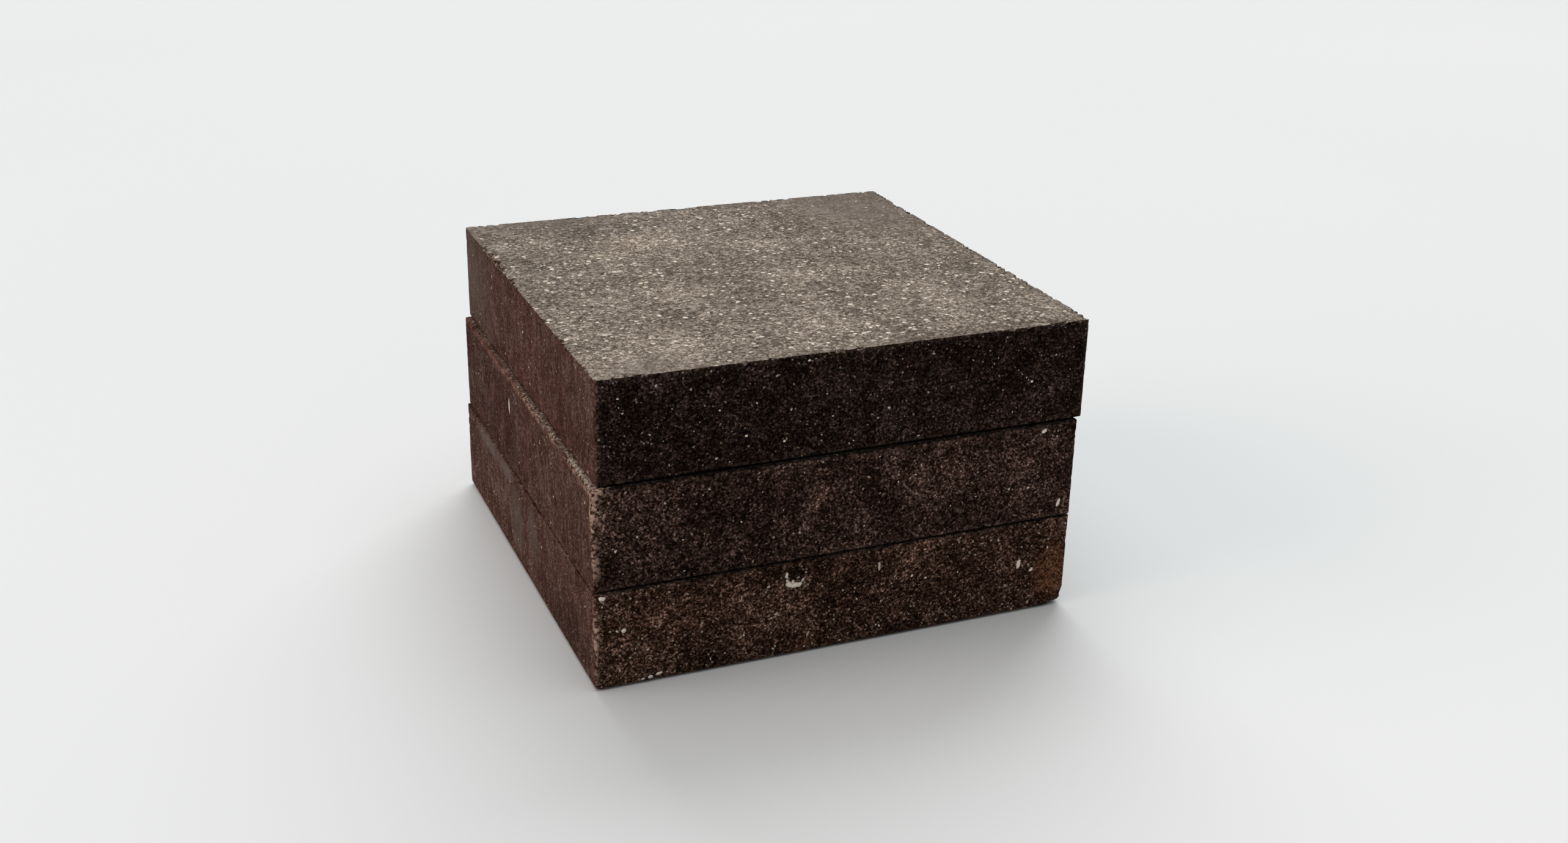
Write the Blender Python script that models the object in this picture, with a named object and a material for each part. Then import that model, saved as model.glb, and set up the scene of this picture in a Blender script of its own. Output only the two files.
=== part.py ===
"""Stack of three loose square blocks of pressed charcoal.

Metres, +Z up. The origin is the centre of the bottom block's underside, on the surface that the
stack stands on, and X and Y run along the bottom block's sides. Each block's own origin is the
centre of its underside, on the line along which it lifts off the block below.
"""

import math

import bmesh
import bpy

# Driving dimensions, in metres.
BLOCK_LENGTH = 0.060  # along X
BLOCK_WIDTH = 0.060  # along Y
BLOCK_THICKNESS = 0.0121
CORNER_RADIUS = 0.0007  # upright corners
TOP_ARRIS_RADIUS = 0.00025  # rim of the upper face, nearly sharp
BOTTOM_ARRIS_RADIUS = 0.0006  # rim of the lower face, worn rounder
SEAM_GAP = 0.0003  # between the faces of two stacked blocks

# How far each loose block sits out of line with the block below, in metres and degrees.
MIDDLE_SHIFT_X = 0.0002
MIDDLE_SHIFT_Y = 0.0002
MIDDLE_TURN = -0.27
TOP_SHIFT_X = 0.00075
TOP_SHIFT_Y = 0.0005
TOP_TURN = 0.03

# Facets along each rounded edge.
CORNER_SEGMENTS = 4
ARRIS_SEGMENTS = 3

# Colour (linear red, green, blue) and roughness of each block.
CHARCOAL_ROUGHNESS = 0.85
TOP_COLOUR = (0.050, 0.039, 0.032)
MIDDLE_COLOUR = (0.040, 0.030, 0.026)
BOTTOM_COLOUR = (0.046, 0.033, 0.028)


def clear_scene():
    for thing in list(bpy.data.objects):
        bpy.data.objects.remove(thing, do_unlink=True)


def charcoal(name, colour):
    material = bpy.data.materials.new(name)
    material.use_nodes = True
    shader = material.node_tree.nodes["Principled BSDF"]
    shader.inputs["Base Color"].default_value = (*colour, 1.0)
    shader.inputs["Roughness"].default_value = CHARCOAL_ROUGHNESS
    shader.inputs["Metallic"].default_value = 0.0  # a mineral, not a metal
    return material


def edges_at(mesh, height):
    """The edges that lie in the level plane at this height."""
    return [
        edge
        for edge in mesh.edges
        if all(math.isclose(vert.co.z, height, abs_tol=1e-7) for vert in edge.verts)
    ]


def upright_edges(mesh):
    return [
        edge
        for edge in mesh.edges
        if math.isclose(edge.verts[0].co.x, edge.verts[1].co.x, abs_tol=1e-7)
        and math.isclose(edge.verts[0].co.y, edge.verts[1].co.y, abs_tol=1e-7)
    ]


def round_edges(mesh, edges, radius, segments):
    bmesh.ops.bevel(
        mesh, geom=edges, offset=radius, segments=segments, profile=0.5, affect="EDGES"
    )


def round_rim(mesh, height, radius):
    """Rounds the rim at this height, by at most the upright corners' own radius."""
    round_edges(mesh, edges_at(mesh, height), min(radius, CORNER_RADIUS), ARRIS_SEGMENTS)


def block_mesh(name):
    """A flat block standing on its own origin, with rounded corners and arrises."""
    mesh = bmesh.new()
    bmesh.ops.create_cube(mesh, size=1.0)
    bmesh.ops.translate(mesh, verts=mesh.verts, vec=(0.0, 0.0, 0.5))
    bmesh.ops.scale(mesh, verts=mesh.verts, vec=(BLOCK_LENGTH, BLOCK_WIDTH, BLOCK_THICKNESS))
    round_edges(mesh, upright_edges(mesh), CORNER_RADIUS, CORNER_SEGMENTS)
    round_rim(mesh, BLOCK_THICKNESS, TOP_ARRIS_RADIUS)
    round_rim(mesh, 0.0, BOTTOM_ARRIS_RADIUS)
    data = bpy.data.meshes.new(name)
    mesh.to_mesh(data)
    mesh.free()
    data.shade_smooth()
    data.set_sharp_from_angle(angle=math.radians(35.0))
    return data


def add_block(name, colour, below=None, shift=(0.0, 0.0), turn=0.0):
    """One block, standing at the origin or on the block below it."""
    block = bpy.data.objects.new(name, block_mesh(name))
    block.data.materials.append(charcoal(name, colour))
    bpy.context.scene.collection.objects.link(block)
    if below:
        block.parent = below
        block.location = (*shift, BLOCK_THICKNESS + SEAM_GAP)
        block.rotation_euler.z = math.radians(turn)
    return block


def main():
    clear_scene()
    bottom = add_block("bottom_block", BOTTOM_COLOUR)
    middle = add_block(
        "middle_block", MIDDLE_COLOUR, bottom, (MIDDLE_SHIFT_X, MIDDLE_SHIFT_Y), MIDDLE_TURN
    )
    add_block("top_block", TOP_COLOUR, middle, (TOP_SHIFT_X, TOP_SHIFT_Y), TOP_TURN)


main()
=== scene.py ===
"""Looks of a stack of three loose, square, pressed charcoal blocks.

Metres, +Z up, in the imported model's frame. Each block gets a finely divided skin with crumbled
arrises, chips and pits, and pale grains and slivers of ash pressed into that skin. Patterns and
places on a block are in millimetres, in the block's own axes, whose origin is the centre of its
underside.
"""

import math
from itertools import pairwise

import bpy
import numpy as np
from mathutils import Matrix, Vector, noise


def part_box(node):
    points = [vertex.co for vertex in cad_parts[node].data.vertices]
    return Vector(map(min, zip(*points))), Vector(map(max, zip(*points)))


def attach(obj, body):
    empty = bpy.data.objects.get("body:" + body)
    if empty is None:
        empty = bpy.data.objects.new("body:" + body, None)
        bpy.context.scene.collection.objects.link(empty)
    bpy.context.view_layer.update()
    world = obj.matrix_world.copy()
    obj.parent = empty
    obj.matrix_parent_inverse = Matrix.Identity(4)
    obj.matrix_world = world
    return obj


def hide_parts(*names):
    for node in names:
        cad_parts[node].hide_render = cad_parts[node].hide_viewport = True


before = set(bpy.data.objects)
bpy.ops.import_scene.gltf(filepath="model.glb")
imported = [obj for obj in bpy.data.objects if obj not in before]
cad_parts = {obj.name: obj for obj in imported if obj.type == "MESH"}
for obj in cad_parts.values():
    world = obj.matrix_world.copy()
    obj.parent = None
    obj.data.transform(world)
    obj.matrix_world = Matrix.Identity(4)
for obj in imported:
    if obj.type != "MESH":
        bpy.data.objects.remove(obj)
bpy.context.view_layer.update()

MM = 0.001
FRONT, RIGHT, BACK, LEFT, TOP, UNDER = "front", "right", "back", "left", "top", "under"

# Points along each side of a block's outline, at the three levels of division.
FINE = 336
MEDIUM = FINE // 2
COARSE = FINE // 4

# Rows of points on a block's skin.
FINE_ROWS = 6  # on a side, beside an arris
RIM_ROWS = 7  # on the rim of the upper face
UNDER_RIM_ROWS = 5  # on the rim of the underside
ARC_ROWS = 4  # round an arris
SIDE_ROWS = 34  # in a whole thickness, away from the arrises

# Distances in mm.
FINE_STEP = 0.17  # between the rows beside an arris
RIM_WIDTH = 1.4  # of the finely divided rim of a level face
GRID_GAP = 0.3  # between that rim and the squares of the upper face
UNDER_GRID_GAP = 1.0  # between that rim and the squares of the underside
CORNER_RADIUS = 0.5  # of the upright corners
TOP_RADIUS = 0.1  # of the upper arrises


class Block:
    """A block's place and size, and how its own skin is worn and coloured.

    bottom_radius rounds its lower arrises, and shaded_rim is how wide the rim of its upper face
    is that has lost its dust and painted sheen, in mm, which keeps the seams dark as painted
    shade.
    drop is how far its foot is lowered to close on the block below, everywhere and then more on
    its left, in mm. crumble is how broken its upper arrises are. seam_shading is how much painted,
    near-black shade lies along its lower arrises and along its upper ones. side is the
    colour of its sides but the left one, lighter on the lower blocks as painted bounce light from
    below; the left one's colour is bounce_lit_flank, lighter and redder as painted bounce light.
    """

    def __init__(
        self,
        node,
        *,
        seed,
        bottom_radius,
        shaded_rim,
        drop,
        crumble,
        seam_shading,
        side,
        bounce_lit_flank,
        dents,
        patches,
        grains,
        scatter,
        crumbs,
    ):
        self.node = node
        self.seed = seed
        self.bottom_radius = bottom_radius
        self.shaded_rim = shaded_rim
        self.drop = drop
        self.crumble = crumble
        self.seam_shading = seam_shading
        self.side = side
        self.bounce_lit_flank = bounce_lit_flank
        self.dents = dents
        self.patches = patches
        self.grains = grains
        self.scatter = scatter
        self.crumbs = crumbs
        self.place, self.size = block_axes(node)


def block_axes(node):
    """The matrix from a block's own axes to the frame's, and the block's size in mm."""
    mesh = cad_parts[node].data
    sides = [face for face in mesh.polygons if face.normal.x < -0.9]
    left = max(sides, key=lambda face: face.area)
    turn = math.atan2(-left.normal.y, -left.normal.x)
    low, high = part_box(node)
    centre = (low + high) / 2
    place = Matrix.Translation((centre.x, centre.y, low.z)) @ Matrix.Rotation(turn, 4, "Z")
    back = place.inverted()
    points = np.array([back @ vert.co for vert in mesh.vertices])
    return place, (points.max(axis=0) - points.min(axis=0)) / MM


# ---------------------------------------------------------------- skin, before it is worn


def outline(size, inset, steps):
    """4 * steps points round a block's plan, inset from its sides, with rounded corners."""
    half = size[:2] / 2 - inset
    along = (np.arange(steps) / steps)[:, None]
    ends = half * np.array([(-1, -1), (1, -1), (1, 1), (-1, 1), (-1, -1)])
    sharp = np.concatenate([a + along * (b - a) for a, b in pairwise(ends)])
    radius = max(CORNER_RADIUS - inset, 0.0)
    inner = np.clip(sharp, radius - half, half - radius)
    arm = sharp - inner
    length = np.linalg.norm(arm, axis=1, keepdims=True)
    return inner + radius * arm / np.maximum(length, 1e-9)


def arc(radius):
    """(inset, depth below the face) along a quarter round, from the face to the side."""
    angles = np.linspace(0, math.pi / 2, ARC_ROWS + 1)
    return [(radius * (1 - math.sin(a)), radius * (1 - math.cos(a))) for a in angles]


def skin_rows(thickness, bottom_radius):
    """(inset, height, points a side) of each row, from the upper face's rim to the lower's."""
    rim = np.linspace(RIM_WIDTH, TOP_RADIUS, RIM_ROWS)[:-1]
    rows = [(inset, thickness, FINE) for inset in rim]
    rows += [(inset, thickness - deep, FINE) for inset, deep in arc(TOP_RADIUS)]
    beside = np.arange(1, FINE_ROWS + 1) * FINE_STEP
    rows += [(0.0, thickness - TOP_RADIUS - step, FINE) for step in beside]
    upper = thickness - TOP_RADIUS - beside[-1]
    lower = bottom_radius + beside[-1]
    spacing = thickness / SIDE_ROWS
    middle = np.linspace(upper, lower, round((upper - lower) / spacing) + 1)[1:-1]
    rows += [(0.0, height, MEDIUM) for height in middle]
    rows += [(0.0, bottom_radius + step, FINE) for step in beside[::-1]]
    rows += [(inset, deep, FINE) for inset, deep in arc(bottom_radius)[::-1]]
    rim = np.linspace(bottom_radius, RIM_WIDTH, UNDER_RIM_ROWS)[1:]
    rows += [(inset, 0.0, FINE) for inset in rim]
    return rows + [(RIM_WIDTH + GRID_GAP, 0.0, MEDIUM)]


def closed_pairs(loop):
    """Each item of a loop with the one after it, round to the first."""
    return zip(loop, np.roll(loop, -1), strict=True)


def quads(upper, lower):
    """Faces between two loops of as many points."""
    pairs = zip(closed_pairs(upper), closed_pairs(lower), strict=True)
    return [(a, c, d, b) for (a, b), (c, d) in pairs]


def join(upper, lower):
    """Faces between two loops, where one may have twice the points of the other."""
    if len(upper) == len(lower):
        return quads(upper, lower)
    faces = []
    few, many = (upper, lower) if len(upper) < len(lower) else (lower, upper)
    after = np.roll(many, -1)
    for i, (a, b) in enumerate(closed_pairs(few)):
        start, middle, end = many[2 * i], after[2 * i], after[2 * i + 1]
        fan = [(a, start, middle), (a, middle, b), (b, middle, end)]
        faces += fan if few is upper else [face[::-1] for face in fan]
    return faces


def grid(size, inset, steps, height, first):
    """A level face's points, its quads facing up, and the loop of points round it."""
    half = size[:2] / 2 - inset
    xs = np.linspace(-half[0], half[0], steps + 1)
    ys = np.linspace(-half[1], half[1], steps + 1)
    x, y = np.meshgrid(xs, ys, indexing="ij")
    points = np.stack([x.ravel(), y.ravel(), np.full(x.size, height)], axis=1)
    index = first + np.arange(x.size).reshape(steps + 1, steps + 1)
    corners = [index[:-1, :-1], index[1:, :-1], index[1:, 1:], index[:-1, 1:]]
    faces = np.stack([corner.ravel() for corner in corners], axis=1)
    loop = np.concatenate([index[:-1, 0], index[-1, :-1], index[:0:-1, -1], index[0, :0:-1]])
    return points, faces, loop


def plain_skin(size, bottom_radius):
    """Points and faces of the unworn block, a closed surface."""
    points, faces = [], []
    upper, squares, loop = grid(size, RIM_WIDTH + GRID_GAP, MEDIUM, size[2], 0)
    points.append(upper)
    faces += squares.tolist()
    count = len(upper)
    for inset, height, steps in skin_rows(size[2], bottom_radius):
        plan = outline(size, inset, steps)
        points.append(np.column_stack([plan, np.full(len(plan), height)]))
        following = np.arange(count, count + len(plan))
        faces += join(loop, following)
        loop = following
        count += len(plan)
    lower, squares, edge = grid(size, RIM_WIDTH + UNDER_GRID_GAP, COARSE, 0.0, count)
    points.append(lower)
    faces += join(loop, edge)
    faces += squares[:, ::-1].tolist()
    return np.concatenate(points), faces


# ---------------------------------------------------------------- wear

# Noise: the width of its lumps in mm, and what it adds to the block's seed.
LUMPS = (0.9, 0.0)
CRUMBS = (0.45, 20.0)
WAVES = (11.0, 40.0)
PITS = (1.3, 60.0)
WEAKNESS = (4.5, 80.0)
PATCH_NOISE = (1.6, 100.0)
WEAR_NOISE = (1.1, 120.0)

BASE_DEPTH = 0.065  # mm between the plain block and its skin, which leaves room for grains
ARRIS_REACH = 0.5  # mm over which an arris crumbles and pales
PATCH_KINDS = ("wear", "pressed", "stain", "smear", "ruddy_bounce", "tone_and_painted_light")


def noise_at(block, points, kind):
    """Smooth noise from -1 to 1 over a block."""
    width, offset = kind
    places = points / width + (block.seed + offset)
    return np.array([noise.noise(Vector(place)) for place in places])


def bump_at(points, centre, radii):
    """From 1 at the centre to 0 at the edge of an ellipsoid with these radii."""
    distance = np.linalg.norm((points - centre) / radii, axis=1)
    return np.clip(1 - distance, 0, 1) ** 0.7


def smooth_step(start, end, value):
    """From 0 where the value is start to 1 where it is end, whichever is larger."""
    share = np.clip((value - start) / (end - start), 0, 1)
    return share * share * (3 - 2 * share)


def arris_nearness(points, size):
    """From 1 on an arris or an upright corner to 0 well away from them."""
    inward = np.stack(
        [
            size[0] / 2 - abs(points[:, 0]),
            size[1] / 2 - abs(points[:, 1]),
            np.minimum(points[:, 2], size[2] - points[:, 2]),
        ]
    )
    nearest = np.sort(inward, axis=0)
    return np.exp(-(((nearest[0] + nearest[1]) / ARRIS_REACH) ** 2))


def worn_depth(block, points):
    """How far the worn skin lies inside the plain block, in mm."""
    lumps = noise_at(block, points, LUMPS)
    crumbs = noise_at(block, points, CRUMBS)
    depth = BASE_DEPTH + 0.012 * noise_at(block, points, WAVES)
    depth += 0.020 * lumps + 0.015 * crumbs
    depth += 0.11 * smooth_step(0.42, 0.75, noise_at(block, points, PITS))
    near = arris_nearness(points, block.size) * smooth_step(2.0, block.size[2], points[:, 2])
    weak = smooth_step(-0.3, 0.25, noise_at(block, points, WEAKNESS))
    broken = smooth_step(-0.05, 0.35, 0.7 * lumps + 0.6 * crumbs)
    depth += block.crumble * near * (0.02 + 0.34 * weak * broken)
    rough = 0.8 + 0.6 * crumbs
    for centre, radii, deep in block.dents:
        depth += deep * rough * bump_at(points, centre, radii)
    return np.maximum(depth, 0.0)


def patch_amounts(block, points):
    """How strongly each kind of patch shows at each point, from -1 to 1."""
    ragged = 1 + 0.45 * noise_at(block, points, PATCH_NOISE)
    amounts = {kind: np.zeros(len(points)) for kind in PATCH_KINDS}
    for kind, centre, radii, strength in block.patches:
        amounts[kind] += strength * bump_at(points, centre, radii) * ragged
    return {kind: np.clip(amount, -1, 1) for kind, amount in amounts.items()}


def sag(block, points):
    """How far in mm each point is lowered, so that the block closes on the one below."""
    leftward = smooth_step(block.size[0] / 2 - 3, block.size[0] / 2, -points[:, 0])
    everywhere, more_on_left = block.drop
    return (everywhere + more_on_left * leftward) * (1 - points[:, 2] / block.size[2])


def seam_shade_amount(block, points, normals):
    """Painted shade in the seams: on rims and faces that lie close to another block."""
    at_lower, at_upper = block.seam_shading
    leftward = np.clip(-normals[:, 0], 0, 1)
    upper = smooth_step(0.35, 0.05, block.size[2] - points[:, 2]) * at_upper
    lower = smooth_step(0.35, 0.05, points[:, 2]) * at_lower
    upright = 1 - smooth_step(0.0, 0.35, np.abs(normals[:, 2]))
    upright *= 1 - 0.8 * leftward
    near_front = smooth_step(4.0, 1.5, block.size[1] / 2 + points[:, 1])
    off_ledge = (block.size[0] / 2 + points[:, 0]) > 1.0
    lower *= 1 - 0.6 * leftward
    return np.maximum(upper * np.maximum(upright, near_front * off_ledge), lower)


def outward(points, faces):
    """The unit normal of each point of a surface."""
    normals = np.zeros_like(points)
    for corners in (3, 4):
        ring = np.array([face for face in faces if len(face) == corners])
        a, b, c = points[ring[:, 0]], points[ring[:, 1]], points[ring[:, -1]]
        each = np.cross(b - a, c - a)
        for column in ring.T:
            np.add.at(normals, column, each)
    return normals / np.linalg.norm(normals, axis=1, keepdims=True)


def skin_layers(block, points, normals):
    """The values that the material reads, by name, at each point of the plain block."""
    layers = patch_amounts(block, points)
    ragged = 0.5 + 0.9 * noise_at(block, points, WEAR_NOISE)
    arris_wear = 0.15 * arris_nearness(points, block.size) * ragged
    layers["wear"] = np.clip(np.maximum(arris_wear, layers["wear"]), 0, 1)
    inward = block.size[:2] / 2 - abs(points[:, :2])
    # Near its edges an upper face loses its dust and painted sheen, which keeps the seams dark as
    # painted shade.
    kept = smooth_step(0.0, block.shaded_rim, inward.min(axis=1))
    kept = np.maximum(kept, 1 - min(block.shaded_rim, 1))
    # Upward faces take the dusty colour, lightened as a painted sheen.
    layers["dust_and_sheen"] = smooth_step(0.80, 0.98, normals[:, 2]) * kept
    layers["pressed"] *= layers["dust_and_sheen"]
    layers["seam_shade"] = seam_shade_amount(block, points, normals)
    # The rim of an upper face along the left takes the flank's colour, painted lighter as bounce
    # light.
    bounce_lit_ledge = smooth_step(1.2, 0.6, block.size[0] / 2 + points[:, 0]) * (1 - layers["dust_and_sheen"])
    upward = np.clip(normals[:, 2], 0, 1)
    layers["bounce_lit_flank"] = np.clip(np.maximum(-normals[:, 0], bounce_lit_ledge * upward), 0, 1)
    return layers


# ---------------------------------------------------------------- maps for the exported model

MAP_NAME = "OFBake"
MAP_GAP = 1  # mm between faces on the map
MAP_MARGIN = 0.5  # mm round the map
UNDER_SCALE = 0.55  # of the underside, which is seen least


def chart_places(size):
    """Where each face lies on the map, in mm: its name to (u axis, v axis, corner, scale)."""
    wide, tall = size[0] + MAP_GAP, size[2] + MAP_GAP
    return {
        TOP: (0, 1, (0, 0), 1.0),
        LEFT: (2, 1, (wide, 0), 1.0),
        FRONT: (0, 2, (0, wide), 1.0),
        RIGHT: (2, 1, (wide + tall, 0), 1.0),
        BACK: (0, 2, (0, wide + tall), 1.0),
        UNDER: (0, 1, (wide, wide), UNDER_SCALE),
    }


def face_names(normals):
    """The name of the block's face that each normal points out of."""
    axis = np.abs(normals).argmax(axis=1)
    positive = normals[np.arange(len(normals)), axis] > 0
    names = np.array([(LEFT, RIGHT), (FRONT, BACK), (UNDER, TOP)])
    return names[axis, positive.astype(int)]


def corner_points(mesh):
    """The number of the point at each corner of each face."""
    corners = np.zeros(len(mesh.loops), int)
    mesh.loops.foreach_get("vertex_index", corners)
    return corners


def write_map(mesh, places):
    layer = mesh.uv_layers.new(name=MAP_NAME)
    layer.uv.foreach_set("vector", places.astype(np.float32).ravel())


def add_skin_map(mesh, size, points, normals):
    """A map for the export, with each of the block's faces flat and in one piece."""
    starts = np.zeros(len(mesh.polygons), int)
    mesh.polygons.foreach_get("loop_start", starts)
    counts = np.zeros(len(mesh.polygons), int)
    mesh.polygons.foreach_get("loop_total", counts)
    corners = corner_points(mesh)
    middle = np.add.reduceat(normals[corners], starts) / counts[:, None]
    face_of = np.repeat(face_names(middle), counts)
    shifted = points + np.array([size[0] / 2, size[1] / 2, 0.0])
    places = np.zeros((len(corners), 2))
    for name, (u, v, corner, scale) in chart_places(size).items():
        here = face_of == name
        places[here] = shifted[corners[here]][:, [u, v]] * scale + corner
    map_width = size[0] + 3 * size[2] + 2 * MAP_GAP
    write_map(mesh, (places + MAP_MARGIN) / map_width)


# ---------------------------------------------------------------- building the pieces


def add_object(name, data):
    item = bpy.data.objects.new(name, data)
    bpy.context.scene.collection.objects.link(item)
    return item


def make_piece(name, points, faces, block, material):
    """A mesh from points in mm in the block's axes, riding on the block's body."""
    mesh = bpy.data.meshes.new(name)
    mesh.from_pydata((points * MM).tolist(), [], faces)
    mesh.shade_smooth()
    mesh.materials.append(material)
    piece = add_object(name, mesh)
    piece.matrix_world = block.place
    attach(piece, block.node)
    return piece


def add_value(mesh, name, values):
    """A number for each point, which the material reads by this name."""
    layer = mesh.attributes.new(name, "FLOAT", "POINT")
    layer.data.foreach_set("value", values.astype(np.float32))


def add_skin(block, material):
    """The block's worn surface, which stands for its plain CAD solid."""
    plain, faces = plain_skin(block.size, block.bottom_radius)
    normals = outward(plain, faces)
    points = plain - normals * worn_depth(block, plain)[:, None]
    points[:, 2] -= sag(block, plain)
    skin = make_piece(block.node + "_skin", points, faces, block, material)
    add_skin_map(skin.data, block.size, plain, normals)
    for name, values in skin_layers(block, plain, normals).items():
        add_value(skin.data, name, values)
    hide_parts(block.node)
    return skin


# ---------------------------------------------------------------- grains of ash

# The axes of each face: across, and up.
FACE_AXES = {
    FRONT: ((1, 0, 0), (0, 0, 1)),
    RIGHT: ((0, 1, 0), (0, 0, 1)),
    BACK: ((-1, 0, 0), (0, 0, 1)),
    LEFT: ((0, -1, 0), (0, 0, 1)),
    TOP: ((1, 0, 0), (0, 1, 0)),
    UNDER: ((1, 0, 0), (0, -1, 0)),
}

GRAIN_SIDES = 7
GRAIN_POINTS = GRAIN_SIDES + 3
GRAIN_SINK = 0.012  # mm that a grain's rim lies below the skin
GRAIN_DEPTH = 0.08  # mm that its lowest point lies below the skin
GRAIN_HEIGHT = (0.03, 0.30)  # mm that it stands up, and more of that for each mm of its width
RIDGE_REACH = 0.18  # of its length, from its middle to either end of its ridge
GRAIN_MAP_SPACE = 1.3  # lengths of a grain in its cell of the map


def face_vectors(face):
    """Unit vectors across a face, up it and out of it."""
    across, up = (np.array(axis, float) for axis in FACE_AXES[face])
    return across, up, np.cross(across, up)


def face_point(size, face, across, up):
    """A point on a face of the plain block: across and up from the face's middle or foot."""
    u, v, out = face_vectors(face)
    foot = np.array([0.0, 0.0, size[2] / 2]) + out * (size / 2)
    if face not in (TOP, UNDER):
        foot[2] = 0.0
    return foot + u * across + v * up


def grain_shape(random, length, width, height):
    """The points of a closed lens with a ragged rim, round the origin."""
    angles = (np.arange(GRAIN_SIDES) + random.uniform(-0.25, 0.25, GRAIN_SIDES)) * math.tau
    angles /= GRAIN_SIDES
    reach = random.uniform(0.75, 1.1, GRAIN_SIDES)
    rim = np.stack([np.cos(angles) * length / 2, np.sin(angles) * width / 2], axis=1)
    rim *= reach[:, None]
    rim = np.column_stack([rim, np.full(GRAIN_SIDES, -GRAIN_SINK)])
    end = length * RIDGE_REACH
    ridge = [(end, 0.0, height), (-end, 0.0, height * 0.8)]
    return np.vstack([rim, ridge, [(0.0, 0.0, -GRAIN_DEPTH)]])


def grain_faces():
    """Faces of a lens: a rim, a ridge of two points above it and one point below it."""
    front, back, below = GRAIN_SIDES, GRAIN_SIDES + 1, GRAIN_SIDES + 2
    near_front = [min(i, GRAIN_SIDES - i) < GRAIN_SIDES / 4 for i in range(GRAIN_SIDES)]
    above = [front if near else back for near in near_front]
    sides, joints = [], []
    for i in range(GRAIN_SIDES):
        j = (i + 1) % GRAIN_SIDES
        sides += [(i, j, above[i]), (j, i, below)]
        if above[i] != above[j]:
            joints.append((j, above[j], above[i]))
    return sides + joints


def scattered(random, size, face, count, longest):
    """Grains anywhere on one face, most of them short and brown."""
    on_side = face not in (TOP, UNDER)
    tall = size[2] if on_side else size[1]
    across = random.uniform(-0.485, 0.485, count) * size[0]
    up = random.uniform(-0.46, 0.46, count) * tall + (tall / 2 if on_side else 0.0)
    shortest = 0.36 if face == TOP else 0.22
    length = np.minimum(shortest * np.exp(random.exponential(0.4, count)), longest)
    width = length * random.uniform(0.4, 0.9, count)
    angle = random.uniform(0, math.tau, count)
    pale = random.uniform(0, 1, count) ** (1.8 if face == TOP else 3.0)
    return list(zip([face] * count, across, up, length, width, angle, pale, strict=True))


def ledge_crumbs(random, row):
    """Grains along the left edge of the upper face."""
    count = row["count"]
    start, reach, crowding = row["up"]
    across = random.uniform(*row["across"], count)
    up = start + reach * random.uniform(0, 1, count) ** crowding
    length = random.uniform(*row["length"], count)
    width = length * random.uniform(*row["slimness"], count)
    angle = random.uniform(*row["angle"], count)
    pale = random.uniform(*row["pale"], count)
    return list(zip([TOP] * count, across, up, length, width, angle, pale, strict=True))


def grain_list(block, random):
    """(face, across, up, length, width, angle, paleness) of each grain on the block."""
    grains = list(block.grains)
    for face, count, longest in block.scatter:
        grains += scattered(random, block.size, face, count, longest)
    for row in block.crumbs:
        grains += ledge_crumbs(random, row)
    return grains


def add_grains(block, material):
    """Pale slivers and grains of ash, half sunk in the block's skin."""
    random = np.random.default_rng(int(block.seed))
    points, faces, places = [], [], []
    grains = grain_list(block, random)
    feet = np.array([face_point(block.size, face, a, b) for face, a, b, *_ in grains])
    depths = worn_depth(block, feet)
    lowered = np.outer(sag(block, feet), (0.0, 0.0, 1.0))
    cells = math.ceil(math.sqrt(len(grains)))
    lens = grain_faces()
    least, more = GRAIN_HEIGHT
    for number, (face, _, _, length, width, angle, _) in enumerate(grains):
        u, v, out = face_vectors(face)
        # No grain stands higher than the plain block's face.
        height = min(least + more * width, depths[number])
        shape = grain_shape(random, length, width, height)
        turned_u = u * math.cos(angle) + v * math.sin(angle)
        turned_v = v * math.cos(angle) - u * math.sin(angle)
        foot = feet[number] - out * depths[number] - lowered[number]
        first = number * GRAIN_POINTS
        points.append(foot + shape @ np.array([turned_u, turned_v, out]))
        faces += [tuple(first + k for k in corners) for corners in lens]
        cell = np.array([number % cells, number // cells])
        places.append((cell + 0.5 + shape[:, :2] / (length * GRAIN_MAP_SPACE)) / cells)
    piece = make_piece(block.node + "_ash", np.concatenate(points), faces, block, material)
    add_value(piece.data, "pale", np.repeat([grain[-1] for grain in grains], GRAIN_POINTS))
    write_map(piece.data, np.concatenate(places)[corner_points(piece.data)])
    return piece


# ---------------------------------------------------------------- materials


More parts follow.
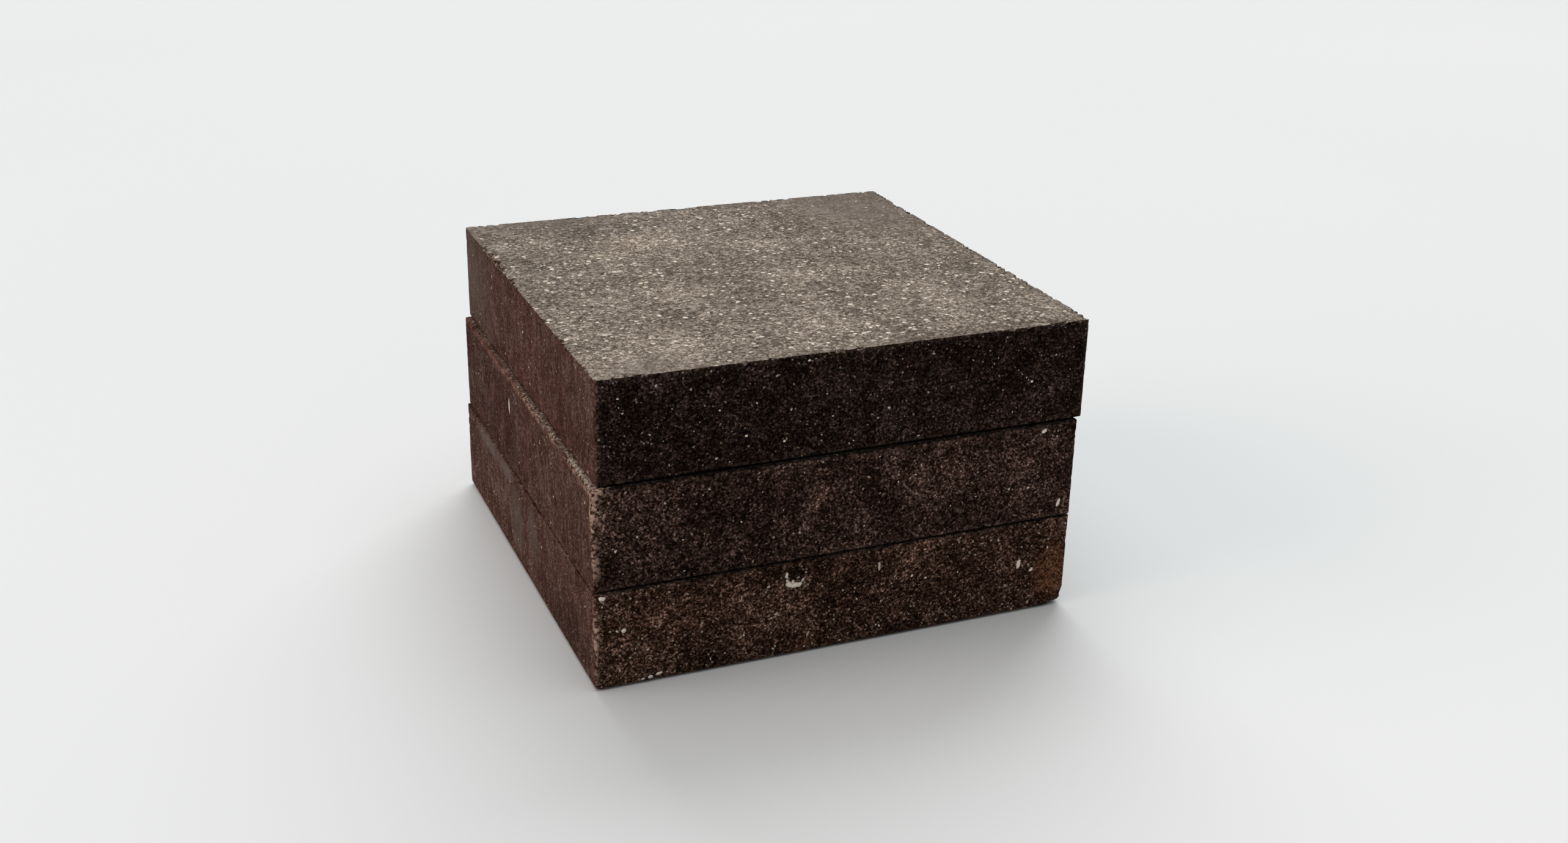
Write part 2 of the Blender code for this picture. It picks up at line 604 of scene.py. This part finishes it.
class Graph:
    """Adds nodes to one material; a value given to a method is a number or another's output."""

    def __init__(self, name):
        self.material = bpy.data.materials.new(name)
        self.material.use_nodes = True
        self.nodes = self.material.node_tree.nodes
        self.links = self.material.node_tree.links
        self.shader = self.nodes["Principled BSDF"]

    def put(self, socket, value):
        if isinstance(value, bpy.types.NodeSocket):
            self.links.new(value, socket)
        else:
            socket.default_value = value

    def set_shader(self, name, value):
        self.put(self.shader.inputs[name], value)

    def add(self, kind, inputs, output=0, **settings):
        node = self.nodes.new(kind)
        for key, value in settings.items():
            setattr(node, key, value)
        for key, value in inputs.items():
            self.put(node.inputs[key], value)
        return node.outputs[output]

    def math(self, operation, a, b=0.0, clamp=False):
        settings = {"operation": operation, "use_clamp": clamp}
        return self.add("ShaderNodeMath", {0: a, 1: b}, **settings)

    def sum(self, a, b):
        return self.math("ADD", a, b)

    def product(self, a, b):
        return self.math("MULTIPLY", a, b)

    def value(self, name):
        return self.add("ShaderNodeAttribute", {}, "Fac", attribute_name=name)

    def noise(self, place, scale, detail=3.0, rough=0.55):
        inputs = {"Vector": place, "Scale": scale, "Detail": detail, "Roughness": rough}
        return self.add("ShaderNodeTexNoise", inputs, "Fac")

    def cells(self, place, scale, output):
        inputs = {"Vector": place, "Scale": scale}
        return self.add("ShaderNodeTexVoronoi", inputs, output)

    def cell_number(self, place, scale, channel):
        """A random number from 0 to 1 for each cell; each channel has its own."""
        colour = self.cells(place, scale, "Color")
        return self.add("ShaderNodeSeparateColor", {"Color": colour}, channel)

    def spread(self, value, low, high, to_low=0.0, to_high=1.0):
        inputs = {"Value": value, "From Min": low, "From Max": high}
        inputs |= {"To Min": to_low, "To Max": to_high}
        return self.add("ShaderNodeMapRange", inputs)

    def by_layer(self, name, without, full):
        """A number that goes from without to full as the named layer goes from 0 to 1."""
        return self.spread(self.value(name), 0.0, 1.0, without, full)

    def mix(self, share, a, b, blend="MIX"):
        inputs = {0: share, 6: rgba(a), 7: rgba(b)}
        settings = {"data_type": "RGBA", "blend_type": blend}
        return self.add("ShaderNodeMix", inputs, 2, **settings)

    def mix_value(self, share, a, b):
        return self.add("ShaderNodeMix", {0: share, 2: a, 3: b})

    def place(self, offset):
        """Position in mm in the block's axes, moved so that each block's pattern differs."""
        where = self.add("ShaderNodeTexCoord", {}, "Object")
        inputs = {"Vector": where, "Scale": (1 / MM,) * 3, "Location": (offset,) * 3}
        return self.add("ShaderNodeMapping", inputs)

    def stretched(self, place, scale):
        return self.add("ShaderNodeMapping", {"Vector": place, "Scale": scale})

    def bump(self, height, distance):
        """The normal over this relief, whose full height is this many millimetres."""
        return self.add("ShaderNodeBump", {"Height": height, "Distance": distance * MM})


def rgba(colour):
    return (*colour, 1.0) if isinstance(colour, tuple) else colour


UPPER_DUST_AND_SHEEN = (0.174, 0.142, 0.113)  # a dusty upper face, lightened as a painted sheen
PRESSED_DUST_AND_SHEEN = (0.135, 0.108, 0.086)  # where that dust is pressed smooth, lightened as the same painted sheen
RUDDY_BOUNCE = (0.069, 0.0225, 0.0158)  # reddish parts of the flank, tinted as painted bounce light
SEAM_SHADE_COLOUR = (0.004, 0.003, 0.0025)  # near black, painted shade in the seams
GREY = (0.120, 0.100, 0.084)  # smears
RUST = (0.185, 0.078, 0.040)  # stains
WORN = (0.52, 0.35, 0.26)  # torn rims
TAN = (0.34, 0.225, 0.140)  # the darkest specks
ASH = (0.56, 0.50, 0.40)  # the palest specks, and the darkest nuggets
BROWN = (0.19, 0.125, 0.085)  # the darkest raised grains, and the mottle on the others
PALE = (0.94, 0.84, 0.71)  # the palest raised grains and nuggets

# Cells in a millimetre of the patterns that pick out specks and nuggets.
SPECK_SCALE = 1.9
NUGGET_SCALE = 1.15

RELIEF = 0.085  # mm of the grit's bump
ASH_RELIEF = 0.03  # mm of the bump on raised grains
SHEEN = 0.025  # specular level of charcoal, which is nearly matte
SHEEN_TINT = (1.0, 0.82, 0.69, 1.0)


def lightness(graph, place):
    """How light each spot is, as a power of e: blotches, lumps, grit and single grains."""
    streaked = graph.stretched(place, (1.0, 1.0, 0.3))
    parts = [
        (graph.noise(place, 0.09, 3.0), 2.0),
        (graph.noise(place, 0.33, 3.0), graph.by_layer("dust_and_sheen", 2.4, 1.0)),
        (graph.noise(place, 1.5, 3.0, 0.6), graph.by_layer("dust_and_sheen", 1.2, 1.5)),
        (graph.noise(place, 3.9, 2.0, 0.6), graph.by_layer("dust_and_sheen", 4.6, 2.6)),
        (graph.noise(streaked, 1.1, 2.0), graph.product(graph.value("bounce_lit_flank"), 3.2)),
        (graph.cell_number(place, 2.5, "Red"), graph.by_layer("dust_and_sheen", 0.9, 1.3)),
        (graph.cell_number(place, 5.0, "Red"), graph.by_layer("dust_and_sheen", 2.6, 1.6)),
    ]
    total = 0.0
    for part, weight in parts:
        centred = graph.math("SUBTRACT", part, 0.5)
        total = graph.sum(graph.product(centred, weight), total)
    return total


def specks(graph, place):
    """Small pale specks, 0 off a speck and up to 1 on a pale one, which crowd on the sides."""
    share = graph.by_layer("dust_and_sheen", 0.14, 0.26)
    share = graph.product(share, graph.by_layer("bounce_lit_flank", 1.0, 0.3))
    crowd = graph.spread(graph.noise(place, 0.25, 2.0), 0.35, 0.65, 0.2, 1.8)
    share = graph.product(share, graph.mix_value(graph.value("dust_and_sheen"), crowd, 1.0))
    chosen = graph.math("LESS_THAN", graph.cell_number(place, SPECK_SCALE, "Green"), share)
    near = graph.spread(graph.cells(place, SPECK_SCALE, "Distance"), 0.32, 0.16)
    pale = graph.spread(graph.cell_number(place, SPECK_SCALE, "Blue"), 0.0, 1.0, 0.15, 1.0)
    return graph.product(graph.product(chosen, near), pale)


def nuggets(graph, place):
    """1 on the half-millimetre grains of ash that lie in the loose dust of an upper face."""
    reach = graph.spread(graph.cell_number(place, NUGGET_SCALE, "Red"), 0.0, 1.0, 0.20, 0.42)
    inside = graph.math("SUBTRACT", reach, graph.cells(place, NUGGET_SCALE, "Distance"))
    found = graph.product(graph.spread(inside, 0.0, 0.06), graph.value("dust_and_sheen"))
    chosen = graph.math("LESS_THAN", graph.cell_number(place, NUGGET_SCALE, "Green"), 0.24)
    loose = graph.spread(graph.value("pressed"), 0.0, 0.5, 1.0, 0.0)
    return graph.product(graph.product(found, chosen), loose)


def ground(graph, place, block):
    """The colour below the grit: dark sides, a brown and reddish flank, a dusty upper face, with
    painted bounce light on the sides and flank and a painted sheen on the upper face.
    """
    cloud = graph.spread(graph.noise(place, 0.12, 2.0), 0.4, 0.6)
    ruddy_bounce = graph.math("SUBTRACT", 1.0, graph.product(cloud, 0.6))
    ruddy_bounce = graph.product(ruddy_bounce, graph.by_layer("ruddy_bounce", 0.4, 1.0))
    # The flank is lighter and redder than the other sides, as painted bounce light.
    bounce_lit_flank = graph.mix(ruddy_bounce, block.bounce_lit_flank, RUDDY_BOUNCE)
    side = graph.mix(graph.value("bounce_lit_flank"), block.side, bounce_lit_flank)
    ragged = graph.spread(graph.noise(place, 0.8, 3.0), 0.3, 0.7, -0.15, 0.15)
    dust_and_sheen = graph.value("dust_and_sheen")
    dust_and_sheen_share = graph.math("ADD", dust_and_sheen, graph.product(ragged, dust_and_sheen), clamp=True)
    # Upward faces take a dusty colour, lightened as a painted sheen.
    colour = graph.mix(dust_and_sheen_share, side, UPPER_DUST_AND_SHEEN)
    return graph.mix(graph.product(graph.value("pressed"), 0.6), colour, PRESSED_DUST_AND_SHEEN)


def gritty(graph, colour, light):
    """The colour with the grit's lights and darks, and with painted shade in the seams."""
    contrast = graph.by_layer("dust_and_sheen", 1.1, 0.8)
    contrast = graph.product(contrast, graph.by_layer("pressed", 1.0, 0.35))
    contrast = graph.product(contrast, graph.by_layer("bounce_lit_flank", 1.0, 0.42))
    tone_and_painted_light = graph.product(graph.value("tone_and_painted_light"), 0.9)
    power = graph.sum(graph.product(light, contrast), tone_and_painted_light)
    factor = graph.math("POWER", math.e, power)
    grey = graph.add("ShaderNodeCombineColor", {0: factor, 1: factor, 2: factor})
    colour = graph.mix(1.0, colour, grey, "MULTIPLY")
    # Painted shade: near black along the seams between blocks.
    colour = graph.mix(graph.product(graph.value("seam_shade"), 0.8), colour, SEAM_SHADE_COLOUR)
    fade = graph.spread(light, -1.0, 1.5, 1.12, 0.80)
    return graph.add("ShaderNodeHueSaturation", {"Saturation": fade, "Color": colour})


def speckled(graph, place, colour, speck, nugget):
    """The colour with specks from tan to ash, and nuggets from ash to nearly white."""
    shown = graph.product(speck, graph.by_layer("pressed", 1.0, 0.2))
    tint = graph.mix(graph.cell_number(place, SPECK_SCALE, "Red"), TAN, ASH)
    colour = graph.mix(shown, colour, tint)
    tint = graph.mix(graph.cell_number(place, NUGGET_SCALE, "Blue"), ASH, PALE)
    return graph.mix(nugget, colour, tint)


def marked(graph, place, colour, light):
    """The colour with grey smears, rust-brown stains and torn, paler wear."""
    colour = graph.mix(graph.product(graph.value("smear"), 0.8), colour, GREY)
    uneven = graph.spread(light, -0.9, 0.9, 0.1, 0.9)
    colour = graph.mix(graph.product(graph.value("stain"), uneven), colour, RUST)
    torn = graph.spread(graph.noise(place, 2.2, 3.0), 0.46, 0.60)
    wear = graph.math("MULTIPLY", graph.value("wear"), torn, clamp=True)
    return graph.mix(wear, colour, WORN)


def relief(graph, place, speck, nugget):
    """The normal over grains, gaps, specks and nuggets, flattest where the dust is pressed."""
    height = graph.product(graph.cells(place, 3.0, "Distance"), -0.9)
    height = graph.sum(height, graph.noise(place, 5.0, 3.0, 0.6))
    height = graph.sum(height, graph.product(speck, 0.5))
    height = graph.sum(height, nugget)
    height = graph.product(height, graph.by_layer("pressed", 1.0, 0.25))
    height = graph.product(height, graph.by_layer("dust_and_sheen", 1.0, 0.65))
    return graph.bump(height, RELIEF)


def charcoal(block):
    """Pressed charcoal: dark grains and gaps, pale specks, brown blotches, dusty rims, with
    painted sheen, painted bounce light and painted shade in the seams.
    """
    graph = Graph(block.node + "_charcoal")
    place = graph.place(block.seed)
    light = lightness(graph, place)
    speck = specks(graph, place)
    nugget = nuggets(graph, place)
    colour = gritty(graph, ground(graph, place, block), light)
    colour = speckled(graph, place, colour, speck, nugget)
    colour = marked(graph, place, colour, light)
    graph.set_shader("Base Color", colour)
    graph.set_shader("Roughness", graph.spread(light, -1.0, 1.0, 0.85, 0.6))
    graph.set_shader("Normal", relief(graph, place, speck, nugget))
    graph.set_shader("Specular IOR Level", SHEEN)
    graph.set_shader("Specular Tint", SHEEN_TINT)
    return graph.material


def ash(block):
    """Ash and wood fibre, from brown to nearly white."""
    graph = Graph(block.node + "_ash")
    place = graph.place(block.seed)
    colour = graph.mix(graph.value("pale"), BROWN, PALE)
    mottle = graph.noise(place, 5.0, 3.0, 0.7)
    colour = graph.mix(graph.spread(mottle, 0.45, 0.70, 0.0, 0.3), colour, BROWN)
    graph.set_shader("Base Color", colour)
    graph.set_shader("Roughness", graph.spread(mottle, 0.3, 0.7, 0.55, 0.8))
    graph.set_shader("Normal", graph.bump(mottle, ASH_RELIEF))
    return graph.material


# ---------------------------------------------------------------- the three blocks

# Dents: centre, radii and depth, in mm. Patches: kind, centre, radii in mm and strength. The kinds
# are wear, torn and pale; pressed, smooth dust; smear, grey; stain, rust brown; ruddy_bounce, a
# redder flank as painted bounce light; and tone_and_painted_light, lighter, or darker where its
# strength is below 0, which is the block's own tone in some places and painted light or shade in
# others.
TOP_DENTS = [
    ((-30.0, 19.5, 12.1), (0.8, 0.9, 0.8), 0.5),
    ((-30.0, 16.8, 12.1), (0.9, 1.0, 0.9), 0.6),
    ((-30.0, 13.5, 12.1), (1.0, 1.4, 0.9), 0.7),
    ((-30.0, 10.6, 12.1), (0.8, 0.9, 0.8), 0.55),
    ((-30.0, 5.5, 12.1), (0.6, 0.9, 0.6), 0.4),
]
TOP_PATCHES = [
    ("smear", (-30.0, 25.0, 6.5), (1.0, 11.0, 9.0), 0.55),
    ("ruddy_bounce", (-30.0, -4.0, 4.0), (1.5, 22.0, 12.0), 1.0),
    ("pressed", (-20.0, 29.0, 12.1), (16.0, 6.0, 3.0), 0.9),
    ("pressed", (8.0, 31.0, 12.1), (22.0, 4.0, 3.0), 0.7),
    ("pressed", (25.0, 25.0, 12.1), (13.0, 18.0, 3.0), 1.3),
    ("tone_and_painted_light", (-10.6, 16.1, 12.1), (6.0, 3.6, 3.0), 0.6),
    ("tone_and_painted_light", (-17.0, 12.0, 12.1), (7.0, 1.5, 3.0), 0.3),
    ("tone_and_painted_light", (-14.0, 24.0, 12.1), (20.0, 4.0, 3.0), -0.30),
    ("tone_and_painted_light", (-24.0, 8.0, 12.1), (8.0, 12.0, 3.0), -0.25),
    ("tone_and_painted_light", (4.0, -6.0, 12.1), (26.0, 10.0, 3.0), 0.15),
    ("tone_and_painted_light", (-30.0, -30.0, 12.1), (24.0, 7.0, 3.0), 0.10),
    ("pressed", (-24.0, -28.0, 12.1), (7.0, 4.0, 3.0), 0.8),
    ("pressed", (0.0, -31.0, 12.1), (30.0, 3.0, 2.0), 0.6),
]
MIDDLE_DENTS = [
    ((-30.2, -29.0, 12.2), (0.9, 0.9, 0.8), 0.5),
    ((-30.2, -27.6, 12.2), (0.9, 0.9, 0.8), 0.45),
    ((-30.2, -25.9, 12.2), (0.9, 0.9, 0.8), 0.4),
    ((-30.2, -24.4, 12.2), (0.9, 0.9, 0.8), 0.4),
    ((-30.2, -22.5, 12.2), (0.9, 0.9, 0.8), 0.3),
    ((-30.2, -20.6, 12.2), (0.9, 0.9, 0.8), 0.3),
]
MIDDLE_PATCHES = [
    ("wear", (-29.8, -25.5, 12.1), (2.0, 7.0, 1.0), 0.9),
    ("wear", (-29.6, -29.7, 12.0), (2.4, 2.0, 1.4), 0.9),
    ("wear", (-30.0, -30.0, 9.2), (1.3, 0.9, 3.0), 2.0),
    ("wear", (-30.0, -30.0, 4.0), (1.0, 0.7, 4.0), 1.2),
    ("wear", (-30.0, -8.0, 12.1), (1.6, 20.0, 0.7), 0.75),
    # Painted light on the ledge, which lies in the top block's shade.
    ("tone_and_painted_light", (-30.0, 16.0, 12.1), (1.2, 26.0, 0.9), 1.2),
    ("ruddy_bounce", (-30.0, 16.0, 6.0), (1.5, 26.0, 14.0), 1.0),
    ("tone_and_painted_light", (-30.0, 18.0, 6.0), (1.5, 24.0, 14.0), -0.35),
    ("tone_and_painted_light", (-2.8, -30.0, 7.4), (2.4, 1.0, 2.0), 1.0),
    ("tone_and_painted_light", (16.0, -30.0, 7.0), (14.0, 1.0, 7.0), 0.25),
]
BOTTOM_DENTS = [
    ((-5.9, -30.0, 10.6), (0.9, 0.8, 0.9), 0.7),
    ((30.0, -30.0, 0.0), (2.2, 2.2, 2.2), 0.7),
]
BOTTOM_PATCHES = [
    ("wear", (-30.0, -30.0, 6.5), (1.0, 0.8, 6.0), 1.1),
    ("tone_and_painted_light", (-5.9, -30.0, 10.4), (1.1, 1.0, 1.0), -2.5),
    ("stain", (28.4, -30.0, 4.8), (3.4, 2.0, 4.6), 1.6),
    ("stain", (-4.0, -30.0, 1.6), (3.0, 1.0, 1.6), 0.4),
    ("tone_and_painted_light", (-21.0, -30.0, 8.0), (6.0, 1.0, 3.5), 0.25),
    # Painted shade on the lower front of the left face.
    ("tone_and_painted_light", (-30.0, -20.0, 3.0), (1.5, 14.0, 5.0), -0.6),
    ("smear", (-30.0, 18.0, 10.9), (1.0, 6.5, 1.3), 1.3),
    ("smear", (-30.0, 8.6, 10.9), (1.0, 4.0, 1.1), 1.3),
    ("smear", (-30.0, 3.7, 6.1), (1.0, 3.5, 5.0), 0.9),
    ("smear", (-30.0, -4.0, 8.0), (1.0, 3.0, 4.0), 0.8),
]

# Single grains: face, mm across and up it, length, width, angle in radians, and paleness.
UPRIGHT = math.pi / 2
MIDDLE_GRAINS = [
    (FRONT, 25.4, 11.3, 1.0, 0.75, 0.4, 0.9),
    (FRONT, 28.1, 1.7, 1.3, 0.65, 1.3, 0.95),
    (FRONT, 23.8, 4.3, 0.6, 0.4, 0.2, 0.6),
    (FRONT, -27.3, 4.6, 0.6, 0.5, 1.2, 0.7),
    (LEFT, -6.1, 8.2, 2.6, 0.75, UPRIGHT, 0.9),
]
# The first eight make the U-shaped chip.
BOTTOM_GRAINS = [
    (FRONT, -7.1, 10.5, 1.0, 0.5, UPRIGHT, 0.9),
    (FRONT, -7.0, 9.8, 0.6, 0.5, 2.2, 0.6),
    (FRONT, -6.75, 9.3, 1.1, 0.9, 2.2, 1.0),
    (FRONT, -6.1, 9.1, 1.2, 0.9, 0.3, 1.0),
    (FRONT, -5.5, 9.1, 1.0, 0.8, 0.5, 0.9),
    (FRONT, -5.1, 9.6, 0.7, 0.45, 1.0, 0.7),
    (FRONT, -6.3, 9.5, 0.7, 0.6, 1.6, 0.7),
    (FRONT, -5.6, 9.9, 0.5, 0.35, 0.4, 0.5),
    (FRONT, 23.3, 6.6, 1.5, 0.75, 1.4, 1.0),
    (FRONT, 25.1, 5.5, 0.7, 0.55, 0.8, 0.9),
    (FRONT, -29.0, 11.6, 1.0, 0.8, 0.0, 1.0),
    (FRONT, -26.6, 7.2, 0.8, 0.7, 0.0, 1.0),
    (FRONT, 4.6, 9.6, 1.6, 0.4, UPRIGHT, 0.6),
    (FRONT, 8.9, 7.6, 0.6, 0.45, 0.6, 0.9),
    (FRONT, 10.7, 7.0, 0.5, 0.4, 0.3, 0.8),
    (FRONT, -22.4, 0.95, 1.1, 0.55, 0.3, 1.0),
    (FRONT, -23.5, 0.7, 0.9, 0.5, 0.2, 1.0),
    (FRONT, -24.4, 0.6, 0.5, 0.35, 0.1, 0.8),
    (FRONT, -12.6, 8.6, 1.0, 0.25, 1.45, 0.3),
    (FRONT, -4.3, 2.4, 1.1, 0.35, 1.2, 0.4),
    (FRONT, -8.3, 5.8, 0.6, 0.35, 0.6, 0.6),
    (FRONT, -9.3, 9.5, 0.5, 0.4, 0.1, 0.6),
]

# Scattered grains: the face, how many, and the longest in mm.
HIDDEN_SCATTER = [(RIGHT, 160, 0.5), (BACK, 160, 0.5), (UNDER, 120, 0.8)]

# Crumbs on the ledge along the middle block's left. up is where they start, how far they reach,
# and a power that crowds them to the far end where it is below 1. slimness is the width for each
# mm of length. It, the length, the place across, the angle and the paleness are each from and to.
MIDDLE_CRUMBS = [
    {
        "count": 130,
        "across": (-29.72, -29.35),
        "up": (10.0, -39.0, 0.7),
        "length": (0.2, 0.5),
        "slimness": (0.4, 0.9),
        "angle": (0.0, math.tau),
        "pale": (0.1, 0.8),
    },
    {
        "count": 45,
        "across": (-29.62, -29.3),
        "up": (-29.5, 9.0, 1.0),
        "length": (0.4, 0.9),
        "slimness": (0.4, 0.8),
        "angle": (1.0, 2.2),
        "pale": (0.1, 0.6),
    },
]


def make_blocks():
    # Sides are lighter on the lower blocks, as painted bounce light from below; flanks are lighter
    # and redder, as painted bounce light from the left.
    top = Block(
        "top_block",
        seed=3.0,
        bottom_radius=0.14,
        shaded_rim=0.01,
        drop=(0.18, 0.0),
        crumble=1.2,
        seam_shading=(1.0, 0.0),
        side=(0.0135, 0.0070, 0.0054),
        bounce_lit_flank=(0.076, 0.039, 0.028),
        dents=TOP_DENTS,
        patches=TOP_PATCHES,
        grains=[],
        scatter=[(TOP, 1000, 0.9), (FRONT, 150, 0.45), (LEFT, 60, 0.5)] + HIDDEN_SCATTER,
        crumbs=[],
    )
    middle = Block(
        "middle_block",
        seed=7.0,
        bottom_radius=0.12,
        shaded_rim=2.0,
        drop=(0.14, 0.126),
        crumble=0.4,
        seam_shading=(0.4, 1.0),
        side=(0.0285, 0.0145, 0.0102),
        bounce_lit_flank=(0.076, 0.039, 0.028),
        dents=MIDDLE_DENTS,
        patches=MIDDLE_PATCHES,
        grains=MIDDLE_GRAINS,
        scatter=[(TOP, 900, 0.9), (FRONT, 170, 0.45), (LEFT, 50, 0.5)] + HIDDEN_SCATTER,
        crumbs=MIDDLE_CRUMBS,
    )
    bottom = Block(
        "bottom_block",
        seed=11.0,
        bottom_radius=0.7,
        shaded_rim=2.0,
        drop=(0.0, 0.0),
        crumble=0.6,
        seam_shading=(0.0, 0.5),
        side=(0.0370, 0.0178, 0.0108),
        bounce_lit_flank=(0.090, 0.047, 0.034),
        dents=BOTTOM_DENTS,
        patches=BOTTOM_PATCHES,
        grains=BOTTOM_GRAINS,
        scatter=[(TOP, 900, 0.9), (FRONT, 200, 0.5), (LEFT, 60, 0.5)] + HIDDEN_SCATTER,
        crumbs=[],
    )
    return [top, middle, bottom]


# ---------------------------------------------------------------- stage, lights and camera

FLOOR_REACH = 4.0  # metres from the middle of the floor to its sides
FLOOR_TINTS = [(0.765, 0.79, 0.795), (0.80, 0.82, 0.82)]

# Lamps: name, direction, spread in degrees, strength and colour.
LAMPS = [
    ("overhead", (0.0, 0.1, 1.0), 70, 1.1, (1.0, 1.0, 1.0)),
    ("back", (0.36, 0.85, 0.62), 55, 2.2, (1.0, 1.0, 1.0)),
    ("left", (-1.0, 0.1, 0.45), 40, 0.9, (1.0, 0.82, 0.72)),
]
SKY_COLOUR = (0.97, 0.985, 1.0, 1.0)
SKY_LIGHT = 0.22  # strength of its light on the blocks and the floor
SKY_SEEN = 0.85  # strength as a backdrop

CAMERA_PLACE = (-0.0771, -0.1934, 0.1033)
CAMERA_DIRECTION = (0.3602, 0.8505, -0.3833)
CAMERA_ROLL = 1.25  # degrees, anticlockwise tilt of the camera
CAMERA_LENS = 40.3
CAMERA_SENSOR = 36.0
CAMERA_NEAR = 0.01


def add_floor():
    """A plain pale floor, wide enough to fill the view."""
    graph = Graph("floor")
    place = graph.add("ShaderNodeTexCoord", {}, "Object")
    graph.set_shader("Base Color", graph.mix(graph.noise(place, 3.0, 2.0), *FLOOR_TINTS))
    graph.set_shader("Roughness", 1.0)
    graph.set_shader("Specular IOR Level", 0.0)
    mesh = bpy.data.meshes.new("floor")
    turns = [(-1, -1), (1, -1), (1, 1), (-1, 1)]
    corners = [(x * FLOOR_REACH, y * FLOOR_REACH, 0) for x, y in turns]
    mesh.from_pydata(corners, [], [(0, 1, 2, 3)])
    mesh.materials.append(graph.material)
    floor = add_object("floor", mesh)


def add_lights():
    """Far, broad, soft lamps."""
    for name, direction, spread, strength, colour in LAMPS:
        lamp = bpy.data.lights.new(name, "SUN")
        lamp.energy = strength
        lamp.angle = math.radians(spread)
        lamp.color = colour
        holder = add_object(name, lamp)
        holder.rotation_euler = Vector(direction).to_track_quat("Z", "Y").to_euler()


def add_world():
    """Dim, even light from all round, and a backdrop as pale as the floor."""
    world = bpy.data.worlds.new("studio")
    world.use_nodes = True
    nodes, links = world.node_tree.nodes, world.node_tree.links
    sky = nodes["Background"]
    sky.inputs["Color"].default_value = SKY_COLOUR
    seen = nodes.new("ShaderNodeLightPath").outputs["Is Camera Ray"]
    strength = nodes.new("ShaderNodeMapRange")
    strength.inputs["To Min"].default_value = SKY_LIGHT
    strength.inputs["To Max"].default_value = SKY_SEEN
    links.new(seen, strength.inputs["Value"])
    links.new(strength.outputs["Result"], sky.inputs["Strength"])
    bpy.context.scene.world = world


def add_camera():
    """A camera at the photograph's viewing angle."""
    camera = bpy.data.cameras.new("camera")
    camera.lens = CAMERA_LENS
    camera.sensor_width = CAMERA_SENSOR
    camera.clip_start = CAMERA_NEAR
    holder = add_object("camera", camera)
    aim = Vector(CAMERA_DIRECTION).to_track_quat("-Z", "Y").to_matrix().to_4x4()
    roll = Matrix.Rotation(math.radians(CAMERA_ROLL), 4, "Z")
    holder.matrix_world = Matrix.Translation(CAMERA_PLACE) @ aim @ roll
    bpy.context.scene.camera = holder


def main():
    for block in make_blocks():
        add_skin(block, charcoal(block))
        add_grains(block, ash(block))
    add_floor()
    add_lights()
    add_world()
    add_camera()
    bpy.context.scene.view_settings.view_transform = "Standard"


main()
